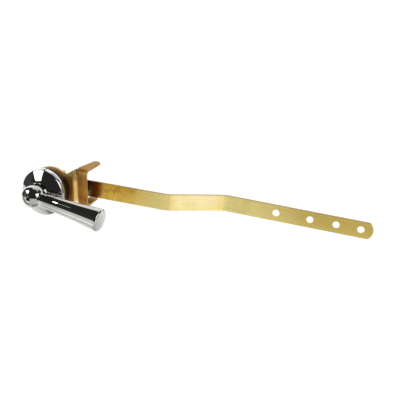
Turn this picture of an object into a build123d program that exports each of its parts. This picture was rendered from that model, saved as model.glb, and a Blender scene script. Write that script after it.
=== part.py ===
from build123d import *
import math
import os

# Cistern trip lever: chrome handle and escutcheon outside the tank wall,
# brass stop bracket and flat brass lift arm inside it.
# Origin on the spindle axis at the outer face of the tank wall,
# +Y into the tank, +X along the arm, +Z up. Millimetres.

# Clearances
run_clear = 0.06
fit_clear = 0.05
slip_clear = 0.2
handle_gap = 0.4
stop_gap = 1.2

# Tank wall and sealing washer
wall_t = 8.4
washer_t = 2.3
washer_r = 17.6

# Escutcheon
esc_r = 17.9
esc_shoulder_r = 17.2
esc_shoulder_h = 3.0
esc_dome_h = 5.6
esc_pocket_r = 15.0
esc_pocket_d = 2.7
esc_edge = 1.2
esc_round = 1.0

# Spindle, bushing and nut
spindle_r = 5.0
front_sq = 7.0
rear_sq = 6.0
spud_r = 8.0
spud_flange_r = 13.0
spud_end = 18.6
spud_nose_wall = 2.0
spud_chamfer = 0.8
nut_af = 25.4
nut_t = 6.0
nut_chamfer = 1.0
nut_bevel = 17.0
rivet_over = 0.6
rivet_t = 1.3
rivet_round = 0.9

# Handle
hub_r = 8.6
hub_len = 11.8
hub_round = 4.4
hub_mouth_r = 4.3
hub_cheek = 4.1
hub_fall = 1.7
hub_blend = 3.2
socket_d = 6.2
lever_forward = 5.3
lever_droop = 12.6
lever_tilt = 2.0
lever_root_r = 5.2
lever_mid_r = 6.55
lever_end_r = 8.6
lever_mid = 33.0
lever_len = 55.5
lever_edge = 1.6
lever_crown = 0.9

# Handle screw
screw_head_r = 4.1
screw_head_t = 1.2
screw_crown = 1.0
screw_sink = 0.4
screw_r = 1.9
screw_len = 9.5
recess_arm = 4.4
recess_w = 1.1
recess_d = 1.4
recess_turn = 35.0
recess_taper = 12.0

# Stop bracket
sheet_t = 1.6
disc_r = 16.5
neck_x = 8.5
notch_x = 13.4
notch_z = 12.2
notch_r = 1.2
low_notch_z = 10.0
joggle_x = 17.9
joggle_run = 2.6
joggle_step = 2.6
joggle_bend = 1.6
web_left = 20.2
web_right = 28.3
flare_z = 16.2
top_z = 16.4
top_bend = 4.5
low_bend = 3.0
tab_len = 26.2
low_tab_len = 20.4
tab_straight = 5.0
tab_tip_x = 23.8
tab_tip_r = 2.7

# Lift arm
strip_w = 12.7
strip_t = 1.6
arm_droop = 6.66
arm_y = 24.2
root_tail = 9.0
root_len = 12.0
seg1_ang = 9.76
seg1_len = 72.4
seg2_ang = 38.6
seg2_len = 45.4
seg3_ang = 7.2
seg3_len = 113.4
arm_bend = 13.0
arm_end_r = 8.0
hole_d = 5.4
hole_1 = 40.1
hole_2 = 66.1
hole_3 = 85.8
hole_4 = 104.2

# Levels along the spindle axis
esc_back = -washer_t
esc_shoulder = esc_back - esc_shoulder_h
esc_apex = esc_shoulder - esc_dome_h
pocket_floor = esc_back - esc_pocket_d
hub_back = esc_apex - handle_gap
hub_front = hub_back - hub_len
lever_y = hub_back - lever_forward
disc_back = wall_t + sheet_t
nut_back = disc_back + nut_t
web_front = wall_t + joggle_step
arm_front = arm_y - strip_t / 2
arm_back = arm_y + strip_t / 2

os.makedirs("parts", exist_ok=True)

# Escutcheon: shallow domed cup with a bevelled rim and a pocket behind
dome_r = (esc_shoulder_r ** 2 + esc_dome_h ** 2) / (2 * esc_dome_h)
esc_hole_r = spindle_r + spud_nose_wall + fit_clear
hole_sag = dome_r - math.sqrt(dome_r ** 2 - esc_hole_r ** 2)
mid_r = (esc_shoulder_r + esc_hole_r) / 2
mid_sag = dome_r - math.sqrt(dome_r ** 2 - mid_r ** 2)
with BuildPart() as escutcheon:
    with BuildSketch(Plane.XY) as esc_profile:
        with BuildLine():
            Line((esc_hole_r, pocket_floor), (esc_hole_r, esc_apex + hole_sag))
            ThreePointArc(
                (esc_hole_r, esc_apex + hole_sag),
                (mid_r, esc_apex + mid_sag),
                (esc_shoulder_r, esc_shoulder),
            )
            Line((esc_shoulder_r, esc_shoulder), (esc_r, esc_back - esc_edge))
            Line((esc_r, esc_back - esc_edge), (esc_r, esc_back))
            Line((esc_r, esc_back), (esc_pocket_r, esc_back))
            Line((esc_pocket_r, esc_back), (esc_pocket_r, pocket_floor))
            Line((esc_pocket_r, pocket_floor), (esc_hole_r, pocket_floor))
        make_face()
    revolve(axis=Axis.Y)
    shoulder_edge = escutcheon.edges().filter_by(GeomType.CIRCLE)
    fillet(shoulder_edge.filter_by(lambda e: abs(e.radius - esc_shoulder_r) < 0.01), esc_round)
escutcheon.part.label = "escutcheon"
export_step(escutcheon.part, "parts/escutcheon.step")

# Threaded bushing: nose in the escutcheon, flange in its pocket, tube through the wall
spud_nose_r = esc_hole_r - fit_clear
spud_nose = esc_apex + hole_sag + fit_clear
with BuildPart() as spud:
    with BuildSketch(Plane.XY):
        with BuildLine():
            Polyline(
                (spindle_r + run_clear, spud_nose),
                (spud_nose_r, spud_nose),
                (spud_nose_r, pocket_floor),
                (spud_flange_r, pocket_floor),
                (spud_flange_r, esc_back),
                (spud_r, esc_back),
                (spud_r, spud_end),
                (spindle_r + run_clear, spud_end),
                close=True,
            )
        make_face()
    revolve(axis=Axis.Y)
    tube_end = spud.edges().filter_by(GeomType.CIRCLE).sort_by(Axis.Y)[-2:]
    chamfer(tube_end.sort_by(SortBy.RADIUS)[-1], spud_chamfer)
spud.part.label = "spud"
export_step(spud.part, "parts/spud.step")

# Sealing washer between the escutcheon and the tank wall
with BuildPart() as tank_washer:
    with BuildSketch(Plane.XZ):
        Circle(washer_r)
        Circle(spud_r + slip_clear, mode=Mode.SUBTRACT)
    extrude(amount=washer_t)
tank_washer.part.label = "tank_washer"
export_step(tank_washer.part, "parts/tank_washer.step")

# Hexagonal lock nut behind the bracket disc
nut_face_r = (nut_af - nut_chamfer) / 2
bevel_drop = (nut_af - nut_face_r) * math.tan(math.radians(nut_bevel))
nut_plane = Plane(origin=(0, disc_back, 0), x_dir=(1, 0, 0), z_dir=(0, 1, 0))
with BuildPart() as lock_nut:
    with BuildSketch(nut_plane):
        RegularPolygon(nut_af / 2, 6, major_radius=False)
        Circle(spud_r + fit_clear, mode=Mode.SUBTRACT)
    extrude(amount=nut_t)
    with BuildSketch(Plane.XY) as nut_cone:
        with BuildLine():
            Polyline(
                (0, disc_back),
                (nut_af, disc_back),
                (nut_af, nut_back - bevel_drop),
                (nut_face_r, nut_back),
                (0, nut_back),
                close=True,
            )
        make_face()
    revolve(axis=Axis.Y, mode=Mode.INTERSECT)
lock_nut.part.label = "lock_nut"
export_step(lock_nut.part, "parts/lock_nut.step")

# Spindle: square front in the handle, round bearing, square rear in the arm, riveted end
arm_dir = (math.cos(math.radians(arm_droop)), 0, -math.sin(math.radians(arm_droop)))
arm_up = (math.sin(math.radians(arm_droop)), 0, math.cos(math.radians(arm_droop)))
socket_floor = hub_back - socket_d
rivet_r = rear_sq / 2 * math.sqrt(2) + rivet_over
with BuildPart() as spindle:
    with BuildSketch(Plane(origin=(0, hub_back, 0), x_dir=(1, 0, 0), z_dir=(0, 1, 0))):
        Circle(spindle_r)
    extrude(amount=arm_front - hub_back)
    with BuildSketch(Plane(origin=(0, hub_back, 0), x_dir=(1, 0, 0), z_dir=(0, -1, 0))):
        Rectangle(front_sq - 2 * fit_clear, front_sq - 2 * fit_clear)
    extrude(amount=hub_back - socket_floor - slip_clear)
    with BuildSketch(Plane(origin=(0, arm_front, 0), x_dir=arm_dir, z_dir=(0, 1, 0))):
        Rectangle(rear_sq - 2 * fit_clear, rear_sq - 2 * fit_clear)
    extrude(amount=strip_t)
    with BuildSketch(Plane(origin=(0, arm_back, 0), x_dir=arm_dir, z_dir=(0, 1, 0))):
        Circle(rivet_r)
    extrude(amount=rivet_t)
    rivet_rim = spindle.edges().filter_by(GeomType.CIRCLE).sort_by(Axis.Y)[-1]
    fillet(rivet_rim, rivet_round)
    with BuildSketch(Plane(origin=(0, socket_floor, 0), x_dir=(1, 0, 0), z_dir=(0, 1, 0))):
        Circle(screw_r + fit_clear)
    extrude(amount=screw_len, mode=Mode.SUBTRACT)
spindle.part.label = "spindle"
export_step(spindle.part, "parts/spindle.step")

# Handle: domed hub with a sunk mouth for the screw, lever flaring to a crowned end
seat_y = hub_front + screw_sink + screw_head_t
droop = math.radians(lever_droop)
tilt = math.radians(lever_tilt)
lever_dir = (math.cos(droop) * math.cos(tilt), math.sin(tilt), -math.sin(droop) * math.cos(tilt))
lever_front = (math.cos(droop) * math.sin(tilt), -math.cos(tilt), -math.sin(droop) * math.sin(tilt))
lever_plane = Plane(origin=(0, lever_y, 0), x_dir=lever_dir, z_dir=lever_front)
lever_axis = Axis((0, lever_y, 0), lever_dir)
end_ball_r = (lever_end_r ** 2 + lever_crown ** 2) / (2 * lever_crown)
end_sink = end_ball_r - math.sqrt(end_ball_r ** 2 - (lever_end_r / 2) ** 2)
end_mid = (lever_len + lever_crown - end_sink, lever_end_r / 2)
with BuildPart() as handle:
    with BuildSketch(Plane.XY) as hub_profile:
        with BuildLine():
            Line((0, hub_back), (-hub_r, hub_back))
            Bezier(
                (-hub_r, hub_back),
                (-hub_r, hub_front + hub_round),
                (-hub_mouth_r - hub_cheek, hub_front + hub_fall),
                (-hub_mouth_r, hub_front),
            )
            Line((-hub_mouth_r, hub_front), (0, hub_front))
            Line((0, hub_front), (0, hub_back))
        make_face()
    revolve(axis=Axis.Y)
    with BuildSketch(lever_plane) as lever_profile:
        with BuildLine():
            Line((0, 0), (0, lever_root_r))
            ThreePointArc((0, lever_root_r), (lever_mid, lever_mid_r), (lever_len, lever_end_r))
            ThreePointArc((lever_len, lever_end_r), end_mid, (lever_len + lever_crown, 0))
            Line((lever_len + lever_crown, 0), (0, 0))
        make_face()
        fillet(lever_profile.vertices().sort_by(Axis.Y)[-1], lever_edge)
    revolve(axis=lever_axis)
    fillet(handle.edges().filter_by(GeomType.BSPLINE), hub_blend)
    with BuildSketch(Plane(origin=(0, hub_back, 0), x_dir=(1, 0, 0), z_dir=(0, 1, 0))):
        Circle(spindle_r + slip_clear)
    extrude(amount=lever_root_r, mode=Mode.SUBTRACT)
    with BuildSketch(Plane(origin=(0, hub_back, 0), x_dir=(1, 0, 0), z_dir=(0, -1, 0))):
        Rectangle(front_sq, front_sq)
    extrude(amount=hub_back - socket_floor, mode=Mode.SUBTRACT)
    with BuildSketch(Plane(origin=(0, hub_front, 0), x_dir=(1, 0, 0), z_dir=(0, 1, 0))):
        Circle(hub_mouth_r)
    extrude(amount=seat_y - hub_front, mode=Mode.SUBTRACT)
    with BuildSketch(Plane(origin=(0, seat_y, 0), x_dir=(1, 0, 0), z_dir=(0, 1, 0))):
        Circle(screw_r + slip_clear)
    extrude(amount=socket_floor - seat_y, mode=Mode.SUBTRACT)
handle.part.label = "handle"
export_step(handle.part, "parts/handle.step")

# Handle screw: crowned head with a cross recess, plain shank in the spindle
crown_r = (screw_head_r ** 2 + screw_crown ** 2) / (2 * screw_crown)
crown_mid = screw_head_r / 2
crown_sag = crown_r - math.sqrt(crown_r ** 2 - crown_mid ** 2)
head_rim = hub_front + screw_sink
screw_top = head_rim - screw_crown
with BuildPart() as handle_screw:
    with BuildSketch(Plane.XY):
        with BuildLine():
            Line((0, screw_top), (0, seat_y + screw_len))
            Line((0, seat_y + screw_len), (screw_r, seat_y + screw_len))
            Line((screw_r, seat_y + screw_len), (screw_r, seat_y))
            Line((screw_r, seat_y), (screw_head_r, seat_y))
            Line((screw_head_r, seat_y), (screw_head_r, head_rim))
            ThreePointArc((screw_head_r, head_rim), (crown_mid, screw_top + crown_sag), (0, screw_top))
        make_face()
    revolve(axis=Axis.Y)
    turn = math.radians(recess_turn)
    recess_dir = (math.cos(turn), 0, math.sin(turn))
    recess_plane = Plane(origin=(0, screw_top, 0), x_dir=recess_dir, z_dir=(0, 1, 0))
    with BuildSketch(recess_plane):
        Rectangle(recess_arm, recess_w)
        Rectangle(recess_w, recess_arm)
    extrude(amount=recess_d, taper=recess_taper, mode=Mode.SUBTRACT)
handle_screw.part.label = "handle_screw"
export_step(handle_screw.part, "parts/handle_screw.step")

# Stop bracket: round disc, notched neck, small step back, web with two tabs bent backward
slope = math.tan(math.radians(arm_droop))
arm_low = web_left * slope + strip_w / 2 / math.cos(math.radians(arm_droop))
low_z = -(arm_low + stop_gap + sheet_t)
low_right = low_z - (web_right - web_left) * slope
top_right = top_z - (web_right - web_left) * slope
tab_end = web_front + tab_len
low_tab_end = web_front + low_tab_len
disc_mid = wall_t + sheet_t / 2
web_mid = web_front + sheet_t / 2
neck_z = math.sqrt(disc_r ** 2 - neck_x ** 2)
reach = disc_r + web_right
with BuildPart() as stop_bracket:
    with BuildSketch(Plane.XY) as step_profile:
        with BuildLine():
            FilletPolyline(
                (-reach, disc_mid),
                (joggle_x, disc_mid),
                (joggle_x + joggle_run, web_mid),
                (web_right, web_mid),
                radius=joggle_bend,
            )
            offset(amount=sheet_t / 2, side=Side.BOTH)
        make_face()
    extrude(amount=reach, both=True)
    with BuildSketch(Plane.XZ) as front_outline:
        with BuildLine():
            Polyline(
                (0, 0),
                (neck_x, neck_z),
                (notch_x, notch_z),
                (web_left, flare_z),
                (web_left, top_z - top_bend),
                (web_right, top_right - top_bend),
                (web_right, low_right + low_bend),
                (web_left, low_z + low_bend),
                (notch_x, -low_notch_z),
                (neck_x, -neck_z),
                close=True,
            )
        make_face()
        notches = front_outline.vertices().filter_by_position(Axis.X, notch_x - 0.1, notch_x + 0.1)
        fillet(notches, notch_r)
        Circle(disc_r)
        Circle(spud_r + slip_clear, mode=Mode.SUBTRACT)
    extrude(amount=reach, both=True, mode=Mode.INTERSECT)
    with BuildSketch(Plane.YZ.offset(web_left)) as top_profile:
        with BuildLine():
            FilletPolyline((web_front, 0), (web_front, top_z), (tab_end, top_z), radius=top_bend)
            offset(amount=sheet_t, side=Side.RIGHT)
        make_face()
    extrude(amount=(web_right - web_left) / arm_dir[0], dir=arm_dir)
    with BuildSketch(Plane.YZ.offset(web_left)) as low_profile:
        with BuildLine():
            FilletPolyline((web_front, 0), (web_front, low_z), (low_tab_end, low_z), radius=low_bend)
            offset(amount=sheet_t, side=Side.LEFT)
        make_face()
    extrude(amount=(web_right - web_left) / arm_dir[0], dir=arm_dir)
    tab_root = web_front + tab_straight
    tip_left = tab_tip_x - tab_tip_r
    tip_right = tab_tip_x + tab_tip_r
    for cut, far in ((reach, tab_end), (-reach, low_tab_end)):
        with BuildSketch(Plane.XY) as tab_outline:
            with BuildLine():
                Line((web_left, tab_root), (tip_left, far - tab_tip_r))
                ThreePointArc((tip_left, far - tab_tip_r), (tab_tip_x, far), (tip_right, far - tab_tip_r))
                Line((tip_right, far - tab_tip_r), (web_right, tab_root))
                Polyline(
                    (web_right, tab_root),
                    (web_right + sheet_t, tab_root),
                    (web_right + sheet_t, far + sheet_t),
                    (web_left - sheet_t, far + sheet_t),
                    (web_left - sheet_t, tab_root),
                    (web_left, tab_root),
                )
            make_face()
        extrude(amount=cut, mode=Mode.SUBTRACT)
stop_bracket.part.label = "stop_bracket"
export_step(stop_bracket.part, "parts/stop_bracket.step")

# Lift arm: flat strip, square hole on the spindle, three gentle bends, four lift holes
a1 = math.radians(seg1_ang)
a2 = math.radians(seg2_ang)
a3 = math.radians(seg3_ang)
bend0 = (root_len, arm_y)
bend1 = (bend0[0] + seg1_len * math.cos(a1), bend0[1] + seg1_len * math.sin(a1))
bend2 = (bend1[0] + seg2_len * math.cos(a2), bend1[1] + seg2_len * math.sin(a2))
tip = (bend2[0] + seg3_len * math.cos(a3), bend2[1] + seg3_len * math.sin(a3))
arm_plane = Plane(origin=(0, 0, 0), x_dir=arm_dir, z_dir=arm_up)
side_plane = Plane(origin=(0, 0, 0), x_dir=arm_dir, z_dir=(0, -1, 0))
half = strip_w / 2
end_sag = arm_end_r - math.sqrt(arm_end_r ** 2 - half ** 2)
with BuildPart() as trip_arm:
    with BuildSketch(arm_plane) as arm_profile:
        with BuildLine():
            FilletPolyline((-root_tail, arm_y), bend0, bend1, bend2, tip, radius=arm_bend)
            offset(amount=strip_t / 2, side=Side.BOTH)
        make_face()
    extrude(amount=half, both=True)
    with BuildSketch(side_plane) as arm_outline:
        with BuildLine():
            Line((tip[0] - end_sag, half), (0, half))
            ThreePointArc((0, half), (-half, 0), (0, -half))
            Line((0, -half), (tip[0] - end_sag, -half))
            ThreePointArc((tip[0] - end_sag, -half), (tip[0], 0), (tip[0] - end_sag, half))
        make_face()
    extrude(amount=tip[1] + strip_w, both=True, mode=Mode.INTERSECT)
    with BuildSketch(Plane(origin=(0, arm_front, 0), x_dir=arm_dir, z_dir=(0, 1, 0))):
        Rectangle(rear_sq, rear_sq)
    extrude(amount=strip_t, mode=Mode.SUBTRACT)
    for along in (hole_1, hole_2, hole_3, hole_4):
        local = Vector(bend2[0] + along * math.cos(a3), bend2[1] + along * math.sin(a3), 0)
        across = arm_plane.from_local_coords(Vector(-math.sin(a3), math.cos(a3), 0))
        with BuildSketch(Plane(origin=arm_plane.from_local_coords(local), z_dir=across)):
            Circle(hole_d / 2)
        extrude(amount=strip_t, both=True, mode=Mode.SUBTRACT)
trip_arm.part.label = "trip_arm"
export_step(trip_arm.part, "parts/trip_arm.step")
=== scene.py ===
import math

import bpy
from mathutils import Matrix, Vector


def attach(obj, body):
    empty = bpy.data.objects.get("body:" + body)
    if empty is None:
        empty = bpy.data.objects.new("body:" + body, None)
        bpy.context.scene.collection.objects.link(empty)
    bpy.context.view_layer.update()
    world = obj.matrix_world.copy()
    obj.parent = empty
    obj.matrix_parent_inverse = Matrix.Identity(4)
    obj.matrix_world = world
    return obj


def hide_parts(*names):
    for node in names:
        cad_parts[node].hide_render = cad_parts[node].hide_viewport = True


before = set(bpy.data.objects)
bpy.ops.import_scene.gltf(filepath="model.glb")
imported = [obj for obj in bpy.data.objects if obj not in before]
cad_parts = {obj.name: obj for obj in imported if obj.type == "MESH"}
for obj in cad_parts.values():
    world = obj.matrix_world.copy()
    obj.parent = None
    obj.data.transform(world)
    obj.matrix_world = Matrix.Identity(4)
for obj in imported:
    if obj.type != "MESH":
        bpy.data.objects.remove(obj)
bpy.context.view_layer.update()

# Shapes and finishes are given in millimetres, the room and its lamps in metres.
MM = 0.001


# Shader maths
class Value:
    """One socket of a finish, so that shader maths reads as plain arithmetic."""

    def __init__(self, finish, socket):
        self.finish = finish
        self.socket = socket

    def maths(self, operation, first, second=0.0):
        return self.finish.node("ShaderNodeMath", {"operation": operation}, {0: first, 1: second})

    def __add__(self, other):
        return self.maths("ADD", self, other)

    __radd__ = __add__

    def __sub__(self, other):
        return self.maths("SUBTRACT", self, other)

    def __rsub__(self, other):
        return self.maths("SUBTRACT", other, self)

    def __mul__(self, other):
        return self.maths("MULTIPLY", self, other)

    __rmul__ = __mul__

    def most(self, other):
        return self.maths("MAXIMUM", self, other)

    def rise(self, low, high):
        """0 at low, 1 at high, and a smooth step between them."""
        return self.finish.node(
            "ShaderNodeMapRange",
            {"interpolation_type": "SMOOTHSTEP"},
            {"Value": self, "From Min": low, "From Max": high},
        )


class Finish:
    """The nodes of one material, or of the world."""

    def __init__(self, owner):
        owner.use_nodes = True
        self.owner = owner
        self.tree = owner.node_tree
        self.tree.nodes.clear()

    def node(self, kind, settings=None, sockets=None, out=0):
        made = self.tree.nodes.new(kind)
        for key, value in (settings or {}).items():
            setattr(made, key, value)
        for key, value in (sockets or {}).items():
            if isinstance(value, Value):
                self.tree.links.new(value.socket, made.inputs[key])
            else:
                made.inputs[key].default_value = value
        return Value(self, made.outputs[out]) if len(made.outputs) else made

    def place(self):
        """The point on the piece in millimetres, in the part's own frame."""
        metres = self.node("ShaderNodeTexCoord", out="Object")
        return self.node("ShaderNodeVectorMath", {"operation": "SCALE"}, {0: metres, "Scale": 1 / MM})

    def axes(self, point):
        return [self.node("ShaderNodeSeparateXYZ", None, {0: point}, axis) for axis in range(3)]

    def join(self, x, y, z):
        return self.node("ShaderNodeCombineXYZ", None, {0: x, 1: y, 2: z})

    def distance(self, point, centre):
        return self.node("ShaderNodeVectorMath", {"operation": "DISTANCE"}, {0: point, 1: centre}, "Value")

    def noise(self, point, scale=1.0, detail=3.0):
        return self.node("ShaderNodeTexNoise", None, {"Vector": point, "Scale": scale, "Detail": detail})

    def mix(self, share, first, second):
        return self.node("ShaderNodeMix", {"data_type": "RGBA"}, {0: share, 6: first, 7: second}, 2)

    def bump(self, height, depth, strength=1.0):
        """Height from 0 to 1, standing out by a depth in millimetres."""
        return self.node(
            "ShaderNodeBump", None, {"Height": height, "Distance": depth * MM, "Strength": strength}
        )

    def rays(self, kind):
        """1 for the rays of one kind, such as Camera or Glossy, and 0 for all others."""
        return self.node("ShaderNodeLightPath", out="Is " + kind + " Ray")

    def background_rays(self):
        """1 for what the camera, polished metal and glass see, and 0 for the light on the part."""
        return self.rays("Camera").most(self.rays("Glossy")).most(self.rays("Transmission"))

    def close(self, shader):
        kind = "World" if isinstance(self.owner, bpy.types.World) else "Material"
        self.node("ShaderNodeOutput" + kind, None, {"Surface": shader})
        return self.owner

    def metal(self, colour, roughness, normal, **constants):
        sockets = {"Base Color": colour, "Metallic": 1.0, "Roughness": roughness, "Normal": normal}
        sockets.update({key.replace("_", " ").title(): value for key, value in constants.items()})
        return self.close(self.node("ShaderNodeBsdfPrincipled", None, sockets))


# Finishes
def rgb(red, green, blue):
    """A colour as a screen shows it, 0 to 255, as the light values that a shader takes."""

    def light(v):
        v = v / 255.0
        return v / 12.92 if v <= 0.04045 else ((v + 0.055) / 1.055) ** 2.4

    return (light(red), light(green), light(blue), 1.0)


def grey(level):
    return (level, level, level, 1.0)


def new_finish(name):
    return Finish(bpy.data.materials.new(name))


PLATING = (0.555, 0.55, 0.522, 1.0)
WORN_PLATING = (0.515, 0.51, 0.482, 1.0)
# Plating colour of the painted highlight on the upper part of the escutcheon's rim.
HIGHLIGHT_PLATING = grey(0.82)
# Near black of the painted shade in the screw's recess.
SHADE_BLACK = grey(0.03)
ROOT_GREY = grey(0.2)


def chrome(name, painted_shade=None, dull_and_highlight=None, darkening=None):
    """Polished plating with the faint waves of a casting and a few wiping marks."""
    f = new_finish(name)
    p = f.place()
    wave = f.noise(p, 0.16, 2.0)
    smear = f.noise(p, 0.3, 4.0)
    speck = f.noise(p, 2.4, 2.0)
    rough = 0.03 + 0.05 * smear.rise(0.5, 0.8) + 0.03 * speck.rise(0.55, 0.8)
    colour = f.mix(smear.rise(0.4, 0.8), PLATING, WORN_PLATING)
    # Painted shade: the plating darkened and roughened where the mask says.
    if painted_shade:
        share = painted_shade(f, p)
        colour = f.mix(share, colour, SHADE_BLACK)
        rough = rough + 0.4 * share
    # A rougher rim, and a painted highlight mixed into its plating.
    if dull_and_highlight:
        dull, painted_highlight = dull_and_highlight(f, p)
        rough = rough + 0.12 * dull
        colour = f.mix(painted_highlight, colour, HIGHLIGHT_PLATING)
    if darkening:
        colour = f.mix(darkening(f, p), colour, ROOT_GREY)
    return f.metal(colour, rough, f.bump(wave, 0.03, 0.5))


SCREW_CROWN = 23.7
CROWN_CURVE = 0.0562


def recess_shade(f, p):
    """Painted shade below the crown of the screw's head and round the middle of its cross."""
    x, y, z = f.axes(p)
    out_from_axis = x * x + z * z
    below_crown = y + SCREW_CROWN - out_from_axis * CROWN_CURVE
    return below_crown.rise(0.02, 0.2).most(0.75 * out_from_axis.rise(4.2, 1.4))


def rim_dull_and_highlight(f, p):
    """The escutcheon's rim, which the polishing wheel reaches less, and a painted highlight on its upper
    part.
    """
    y, z = f.axes(p)[1:]
    rim = y.rise(-5.4, -4.6)
    return rim, rim * z.rise(5.0, 11.0)


def root_darkening(f, p):
    """Darker grey on the lever beside its hub."""
    x = f.axes(p)[0]
    return 0.4 * x.rise(7.0, 12.0) * x.rise(36.0, 14.0)


def rubber(name):
    """Black rubber with a fine grain and some dust."""
    f = new_finish(name)
    p = f.place()
    grain = f.noise(p, 3.0, 3.0)
    dust = f.noise(p, 0.35, 4.0)
    colour = f.mix(dust.rise(0.5, 0.8), rgb(20, 20, 21), rgb(38, 37, 36))
    sockets = {"Base Color": colour, "Roughness": 0.55 + 0.2 * dust, "Normal": f.bump(grain, 0.05, 0.4)}
    return f.close(f.node("ShaderNodeBsdfPrincipled", None, sockets))


ARM_DROOP = math.radians(6.66)
ARM_SET_BACK = 0.172


def arm_brass(name):
    """Strip brushed along its length, with brown stains towards the spindle, a painted dark reflection of
    the bracket on its front face there, and more painted light marked below.
    """
    f = new_finish(name)
    p = f.place()
    x, y, z = f.axes(p)
    along = x * math.cos(ARM_DROOP) - z * math.sin(ARM_DROOP)
    across = x * math.sin(ARM_DROOP) + z * math.cos(ARM_DROOP)
    grain = f.noise(f.join(along * 0.05, y * 0.05, across * 7.0), 1.0, 3.0)
    streak = f.noise(f.join(along * 0.02, y * 0.02, across * 1.2), 1.0, 3.0)
    cloud = f.noise(p, 0.07, 4.0)
    stain = f.noise(p, 0.2, 4.0)
    colour = f.mix(along.rise(60.0, 110.0), rgb(232, 184, 44), rgb(216, 190, 96))
    # Paler along the middle of the strip's length.
    pale_stretch = along.rise(46.0, 80.0) * along.rise(192.0, 138.0)
    colour = f.mix(pale_stretch, colour, rgb(254, 234, 152))
    # Painted highlight: the middle segment between the bends made paler.
    level = along.rise(83.0, 89.0) * along.rise(119.0, 113.0)
    colour = f.mix(level, colour, rgb(243, 226, 170))
    # Painted highlights on the strip's two bends.
    first_bend_highlight = along.rise(82.5, 84.0) * along.rise(91.5, 86.0)
    second_bend_highlight = along.rise(112.0, 116.0) * along.rise(120.0, 118.5)
    colour = f.mix(0.6 * (first_bend_highlight + second_bend_highlight), colour, rgb(226, 202, 128))
    colour = f.mix(0.3 * cloud.rise(0.35, 0.7), colour, rgb(214, 182, 92))
    colour = f.mix(0.35 * streak.rise(0.45, 0.75), colour, rgb(206, 172, 84))
    spots = stain.rise(0.48, 0.72) * along.rise(68.0, 50.0)
    colour = f.mix(0.5 * spots, colour, rgb(176, 124, 40))
    # Painted reflection: the bracket's dark back darkening the strip's front face near the spindle.
    front = (y - ARM_SET_BACK * x).rise(22.4, 21.9)
    colour = f.mix(front * along.rise(34.5, 31.0), colour, rgb(192, 132, 36))
    colour = f.mix(front * along.rise(30.4, 26.0), colour, rgb(128, 94, 62))
    colour = f.mix(front * along.rise(25.5, 21.5), colour, rgb(76, 54, 44))
    pit = f.distance(p, (41.6, 28.5, -4.1)).rise(1.1, 0.4)
    colour = f.mix(0.7 * pit, colour, rgb(110, 72, 24))
    # Painted light: the lower half of the strip made paler.
    lower_half_highlight = across.rise(1.0, -6.3)
    colour = f.mix(0.2 * lower_half_highlight, colour, rgb(255, 240, 150))
    # Painted shade: a dark line along the strip's upper edge.
    upper_edge_shade = across.rise(5.8, 6.25)
    colour = f.mix(0.85 * upper_edge_shade, colour, rgb(150, 116, 36))
    return f.metal(colour, 0.2 + 0.14 * grain, f.bump(grain, 0.02, 0.5), coat_weight=0.6)


def bracket_brass(name):
    """Stamped sheet, tarnished brown, with painted shade beside the escutcheon, a painted highlight along
    its step and more painted light and shade marked below.
    """
    f = new_finish(name)
    p = f.place()
    x, y, z = f.axes(p)
    grain = f.noise(f.join(x * 1.8, y * 0.6, z * 0.06), 1.0, 4.0)
    cloud = f.noise(p, 0.16, 5.0)
    patch = f.noise(p, 0.45, 3.0)
    front = f.mix(cloud.rise(0.35, 0.7), rgb(222, 164, 76), rgb(202, 138, 54))
    tabs = f.mix(cloud.rise(0.35, 0.7), rgb(188, 142, 30), rgb(166, 118, 22))
    colour = f.mix(y.rise(13.0, 17.0), front, tabs)
    colour = f.mix(0.75 * grain.rise(0.42, 0.66), colour, rgb(136, 88, 32))
    web = x.rise(21.0, 22.0) * y.rise(13.0, 11.5)
    web_middle = z.rise(8.0, 4.5) * z.rise(-4.0, -0.5)
    colour = f.mix(0.6 * web * web_middle, colour, rgb(236, 172, 74))
    colour = f.mix(0.75 * web * z.rise(-2.5, -6.0), colour, rgb(160, 100, 30))
    # Painted reflection: an orange-brown band on the lower neck and first bend.
    neck = x.rise(15.0, 16.5) * x.rise(18.6, 17.8) * z.rise(6.0, 2.0)
    colour = f.mix(0.5 * neck, colour, rgb(198, 116, 36))
    out_from_axis = x * x + z * z
    # Painted shade on the disc beside the escutcheon, darkest near the spindle.
    escutcheon_shade = out_from_axis.rise(300.0, 190.0) * z.rise(13.0, 6.0)
    colour = f.mix(0.92 * escutcheon_shade, colour, rgb(58, 42, 26))
    # Painted highlight: a pale band along the disc's upper edge.
    disc_edge_highlight = out_from_axis.rise(190.0, 250.0) * z.rise(9.5, 11.5) * x.rise(17.8, 17.0)
    colour = f.mix(0.75 * disc_edge_highlight, colour, rgb(255, 226, 158))
    # Painted reflection: the top of the step turned olive grey.
    step = x.rise(17.7, 18.3) * x.rise(21.3, 20.7)
    colour = f.mix(0.9 * step * z.rise(7.0, 8.5), colour, rgb(162, 136, 78))
    # Painted shade along the bend into the top tab.
    top_bend = y.rise(10.6, 11.0) * y.rise(17.0, 14.0)
    colour = f.mix(0.15 * top_bend * z.rise(11.0, 14.5), colour, rgb(112, 72, 32))
    bend_line = z.rise(11.5, 12.8) * z.rise(15.4, 14.2)
    colour = f.mix(0.2 * top_bend * bend_line, colour, rgb(110, 80, 34))
    # Painted highlight: the bright strip down the slanted face of the step, smoother there too.
    step_highlight = x.rise(18.1, 18.9) * x.rise(21.0, 20.0) * (z + 6.0 * patch).rise(12.0, 7.0)
    colour = f.mix(0.85 * step_highlight, colour, rgb(250, 214, 140))
    # Painted highlight along the sheet's cut edge at the right of the web.
    cut_edge_highlight = x.rise(27.9, 28.2)
    colour = f.mix(0.8 * cut_edge_highlight, colour, rgb(168, 146, 98))
    rough = 0.38 + 0.14 * grain - 0.14 * step_highlight
    return f.metal(colour, rough, f.bump(grain, 0.03, 0.5), metallic=0.7)


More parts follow.
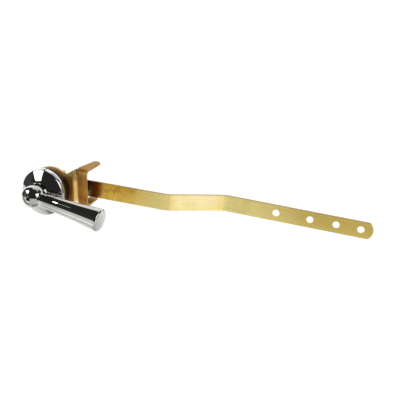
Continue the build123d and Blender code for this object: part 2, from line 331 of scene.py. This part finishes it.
def fitting_brass(name):
    """Turned bar stock, with the fine rings of the tool."""
    f = new_finish(name)
    p = f.place()
    x, y, z = f.axes(p)
    turned = f.noise(f.join(x * 0.2, y * 5.0, z * 0.2), 1.0, 2.0)
    cloud = f.noise(p, 0.16, 4.0)
    colour = f.mix(cloud.rise(0.4, 0.75), rgb(206, 170, 98), rgb(172, 132, 66))
    return f.metal(colour, 0.24 + 0.16 * turned, f.bump(turned, 0.02, 0.4))


# Shapes
def dress(node, material):
    """Gives one of the CAD pieces its finish."""
    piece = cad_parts[node]
    piece.data.materials.clear()
    piece.data.materials.append(material)


def mesh_piece(name, points, faces, material):
    """A new piece from points in metres."""
    data = bpy.data.meshes.new(name)
    data.from_pydata(points, [], faces)
    data.materials.append(material)
    piece = bpy.data.objects.new(name, data)
    bpy.context.scene.collection.objects.link(piece)
    return piece


def strips(rings, columns, round_trip):
    """Faces between neighbouring rows of points."""
    faces = []
    for r in range(rings - 1):
        near, far = r * columns, (r + 1) * columns
        for c in range(columns if round_trip else columns - 1):
            d = (c + 1) % columns
            faces.append((near + c, near + d, far + d, far + c))
    return faces


def bushing(material):
    """The bushing with its cut thread, which the plain solid leaves out."""
    bore, nose_r, nose, pocket, flange_r, back = 5.06, 7.0, -9.9, -5.0, 12.98, -2.3
    crest, root, pitch, end = 7.97, 7.2, 1.5, 18.6
    chamfer, lead, columns, rows_per_turn = 0.3, 0.8, 72, 8
    rows = [(bore, nose), (nose_r - chamfer, nose), (nose_r, nose + chamfer), (nose_r, pocket)]
    rows += [(flange_r, pocket), (flange_r, back), (crest, back)]
    steps = int((end - lead - back) / (pitch / rows_per_turn))
    thread = [back + (end - lead - back) * i / steps for i in range(1, steps + 1)]

    def cut(y, turn):
        ridge = 1 - abs(2 * ((y / pitch - turn) % 1.0) - 1)
        depth = min(1.0, max(0.0, 1.3 * ridge - 0.15))
        run_out = min(1.0, max(0.0, (y - back - 1.0) / pitch))
        return crest - (crest - root) * depth * run_out

    rings = [[row] * columns for row in rows]
    rings += [[(cut(y, c / columns), y) for c in range(columns)] for y in thread]
    rings += [[row] * columns for row in ((crest - lead, end), (bore, end), (bore, nose))]
    points = []
    for ring in rings:
        for c, (radius, y) in enumerate(ring):
            a = 2 * math.pi * c / columns
            points.append(Vector((radius * math.cos(a), y, radius * math.sin(a))) * MM)
    piece = mesh_piece("threaded_bushing", points, strips(len(rings), columns, True), material)
    piece.data.polygons.foreach_set("use_smooth", [True] * len(piece.data.polygons))
    piece.data.set_sharp_from_angle(angle=math.radians(35))
    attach(piece, "fixed")
    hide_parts("spud")


# Dressed pieces
dress("handle", chrome("handle_chrome", darkening=root_darkening))
dress("escutcheon", chrome("escutcheon_chrome", dull_and_highlight=rim_dull_and_highlight))
dress("handle_screw", chrome("screw_chrome", painted_shade=recess_shade))
dress("tank_washer", rubber("washer_rubber"))
fitting = fitting_brass("fitting_brass")
for part in ("lock_nut", "spindle"):
    dress(part, fitting)
bushing(fitting)
dress("stop_bracket", bracket_brass("bracket_brass"))
dress("trip_arm", arm_brass("arm_brass"))


# Room, cards and lamps
def from_angle(azimuth, elevation, distance):
    """A point round the part, with azimuth from straight ahead of the handle towards the arm."""
    a = math.radians(azimuth)
    e = math.radians(elevation)
    return Vector((math.sin(a) * math.cos(e), -math.cos(a) * math.cos(e), math.sin(e))) * distance


def softbox(name, azimuth, elevation, distance, width, height, turn, level, aim=(0.0, 0.0, 0.0)):
    """A lamp at angles and a distance from its aim, with its size, its turn and how bright it looks."""
    lamp = bpy.data.lights.new(name, "AREA")
    lamp.shape = "RECTANGLE"
    lamp.size = width
    lamp.size_y = height
    lamp.energy = level * math.pi * width * height
    box = bpy.data.objects.new(name, lamp)
    way = from_angle(azimuth, elevation, distance)
    box.location = way + Vector(aim)
    box.rotation_euler = way.to_track_quat("Z", "Y").to_euler()
    box.rotation_euler.rotate_axis("Z", math.radians(turn))
    box.visible_camera = False
    bpy.context.scene.collection.objects.link(box)
    return box


HANDLE = ("handle", "handle_screw")


def light_pieces(box, pieces, state):
    """The lamp lights these pieces alone, or leaves them out."""
    group = bpy.data.collections.new(box.name + "_pieces")
    for piece in pieces:
        group.objects.link(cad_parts[piece])
    for entry in group.collection_objects:
        entry.light_linking.link_state = state
    box.light_linking.receiver_collection = group


def sweep():
    """The white floor, which curves up into a white wall behind the part."""
    front, back, floor, top, bend, wide, bend_steps = -2.2, 0.85, -0.24, 1.2, 0.3, 2.2, 12
    profile = [(front, floor), (-0.5, floor)]
    for i in range(bend_steps + 1):
        a = math.radians(90 * i / bend_steps)
        profile.append((back - bend + bend * math.sin(a), floor + bend - bend * math.cos(a)))
    profile.append((back, top))
    points = [(x, y, z) for y, z in profile for x in (-wide, wide)]
    f = new_finish("sweep_white")
    p = f.place()
    x, y = f.axes(p)[:2]
    # Painted light in the glow that polished metal sees: brighter and dimmer pools on the floor and wall,
    # and a painted shadow under the part. The camera sees an even white.
    glow = f.mix(y.rise(-600.0, 20.0), grey(0.47), grey(0.46))
    glow = f.mix(y.rise(100.0, 600.0), glow, grey(0.9))
    glow = f.mix(x.rise(-170.0, -380.0), glow, grey(0.75))
    glow = f.mix(f.distance(p, (-245.0, -310.0, -240.0)).rise(150.0, 60.0), glow, grey(1.2))
    glow = f.mix(x.rise(-60.0, -200.0) * y.rise(-170.0, 0.0), glow, grey(0.85))
    glow = f.mix(x.rise(-20.0, -300.0) * y.rise(-100.0, 250.0), glow, grey(0.95))
    glow = f.mix(y.rise(350.0, 800.0) * x.rise(-300.0, -800.0), glow, grey(1.35))
    glow = f.mix(f.distance(p, (700.0, -350.0, -240.0)).rise(420.0, 150.0), glow, grey(1.0))
    # Painted shadow under the part, seen in the polished metal.
    glow = f.mix(f.distance(p, (-5.0, -100.0, -240.0)).rise(108.0, 58.0), glow, grey(0.02))
    glow = f.mix(f.rays("Camera"), glow, grey(0.79))
    plain = f.node("ShaderNodeBsdfDiffuse", None, {"Color": grey(0.8)})
    dim = f.node("ShaderNodeBsdfDiffuse", None, {"Color": grey(0.4)})
    lit = f.node("ShaderNodeEmission", None, {"Color": glow})
    seen = f.node("ShaderNodeAddShader", None, {0: dim, 1: lit})
    f.close(f.node("ShaderNodeMixShader", None, {0: f.background_rays(), 1: plain, 2: seen}))
    piece = mesh_piece("white_sweep", points, strips(len(profile), 2, False), f.owner)
    piece.data.polygons.foreach_set("use_smooth", [True] * len(piece.data.polygons))


def level_edge(elevation):
    return lambda azimuth: elevation


def band(first, last, low, high):
    """Rows of angles from a lower edge up to a level upper edge."""
    columns, rows = 90, 24
    turns = [first + (last - first) * i / columns for i in range(columns + 1)]
    return [[(a, low(a) + (high - low(a)) * i / rows) for a in turns] for i in range(rows + 1)]


def card(name, rows, radius, left_level, right_level):
    """A card through rows of angles round the part, which only the polished metal sees."""
    points = [from_angle(a, e, radius) for row in rows for a, e in row]
    f = new_finish(name)
    x = f.axes(f.place())[0]
    level = f.mix(x.rise(-1000.0, -300.0), grey(left_level), grey(right_level))
    f.close(f.node("ShaderNodeEmission", None, {"Color": level}))
    piece = mesh_piece(name, points, strips(len(rows), len(rows[0]), False), f.owner)
    piece.visible_camera = False
    piece.visible_diffuse = False
    piece.visible_shadow = False


FLAG_EDGE = (
    (-132, -8), (-60, -8), (-48, 4), (-28, 4), (-12, -9), (10, -11), (40, -14),
    (58, -10), (84, -10), (98, -21), (120, -21), (135, -13), (147, -13),
)


def flag_edge(azimuth):
    """Lower edge of the black flag, up beside the left softbox and down towards the arm."""
    for (a, low), (b, high) in zip(FLAG_EDGE, FLAG_EDGE[1:]):
        if azimuth <= b:
            return low + (high - low) * (azimuth - a) / (b - a)
    return FLAG_EDGE[-1][1]


def room():
    """White to the camera and to polished metal, and dimmer as a light on the part."""
    world = bpy.data.worlds.new("white_room")
    bpy.context.scene.world = world
    f = Finish(world)
    level = 0.45 + 0.55 * f.background_rays()
    f.close(f.node("ShaderNodeBackground", None, {"Color": grey(1.0), "Strength": level}))


def camera():
    """The camera fitted to the photograph."""
    data = bpy.data.cameras.new("photo_camera")
    data.lens = 72.23
    data.sensor_width = 36.0
    data.clip_start = 0.01
    data.clip_end = 20.0
    eye = bpy.data.objects.new("photo_camera", data)
    eye.location = (0.3293, -0.48434, 0.16923)
    eye.rotation_euler = (math.radians(72.91), 0.0, math.radians(22.91))
    bpy.context.scene.collection.objects.link(eye)
    bpy.context.scene.camera = eye


# The studio, with each card given by its angles, radius and levels
sweep()
card("black_flag", band(-120, 147, flag_edge, 56), 1.3, 0.072, 0.031)
card("black_top_flag", band(-138, 147, level_edge(56), 89.5), 1.3, 0.072, 0.031)
card("low_card", band(44, 78, level_edge(-14), 10), 1.25, 1.0, 1.0)
card("grey_top_card", band(106, 144, level_edge(46), 72), 1.25, 0.5, 0.5)
card("grey_card", band(96, 112, level_edge(-21), 28), 1.25, 0.3, 0.3)
card("wing_card", [[(-68, 27.5), (-58, 23)], [(-68, 30), (-58, 34)]], 0.6, 4.0, 4.0)
card("corner_flag", [[(-62, 9), (-42, 9)], [(-62, 25.5), (-42, 14.5)]], 0.55, 0.04, 0.04)
room()
light_pieces(softbox("left_softbox", -43.5, 29, 0.6, 0.277, 0.27, 22, 4.0), HANDLE, "EXCLUDE")
light_pieces(softbox("right_softbox", 65, 26, 1.0, 1.15, 0.57, 0, 2.4), HANDLE, "EXCLUDE")
light_pieces(softbox("handle_left_softbox", -50, 29, 0.6, 0.31, 0.19, 25, 4.0), HANDLE, "INCLUDE")
light_pieces(softbox("handle_right_softbox", 76, 25, 1.0, 1.15, 0.37, 0, 2.4), HANDLE, "INCLUDE")
for strip in (
    softbox("strip_lamp", -31, 52, 0.03, 0.0035, 0.0022, 0, 3.0, (0.0203, -0.0215, -0.0010)),
    softbox("faint_strip_lamp", -31, 52, 0.03, 0.009, 0.002, 17, 0.07, (0.0268, -0.0215, -0.0024)),
):
    strip.data.spread = math.radians(50)
    light_pieces(strip, HANDLE, "INCLUDE")
camera()
bpy.context.scene.view_settings.view_transform = "Standard"
